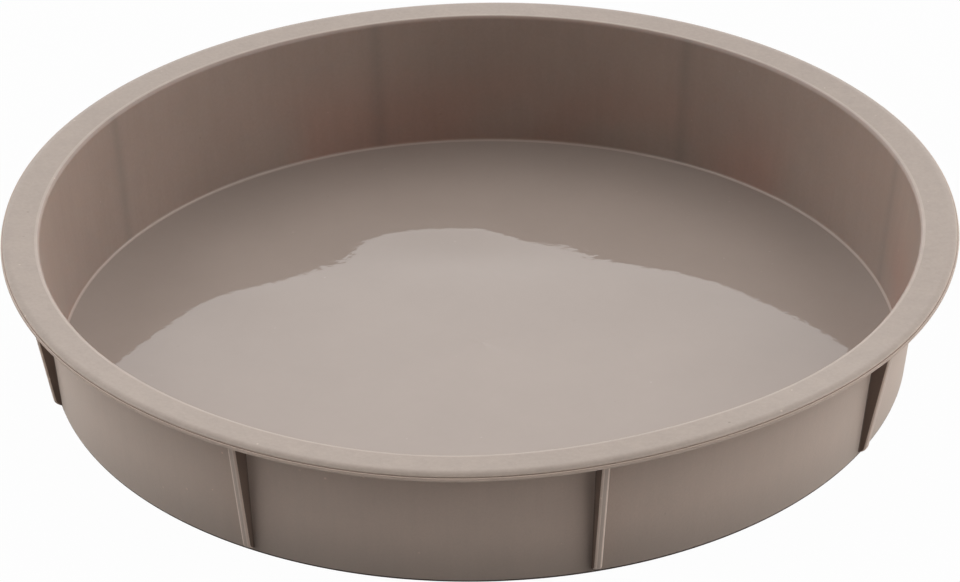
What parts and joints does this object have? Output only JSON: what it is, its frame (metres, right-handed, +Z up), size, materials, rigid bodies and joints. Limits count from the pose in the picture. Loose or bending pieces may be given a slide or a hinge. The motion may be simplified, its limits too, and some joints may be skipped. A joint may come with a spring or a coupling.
{
  "type": "cake pan",
  "caption": "Round, shallow, open silicone cake mould with a drafted wall, a flat rim flange and thin stiffening fins round the outside.",
  "frame": {"origin": "middle of the underside, on the surface that the pan stands on", "axes": "+Z up, out of the open mouth; +X to the right and +Y away from the viewer in the picture"},
  "size_m": [0.261, 0.261, 0.041],
  "materials": {
    "body": "satin silicone, glossy on the inner floor, matte on the outside",
    "rim": "matte silicone with a fine grain"
  },
  "bodies": {
    "root": {"base_panel": "body", "side_wall": "body", "rim_flange": "rim", "rib_1": "body", "rib_2": "body", "rib_3": "body", "rib_4": "body", "rib_5": "body", "rib_6": "body", "rib_7": "body", "rib_8": "body"}
  },
  "joints": []
}
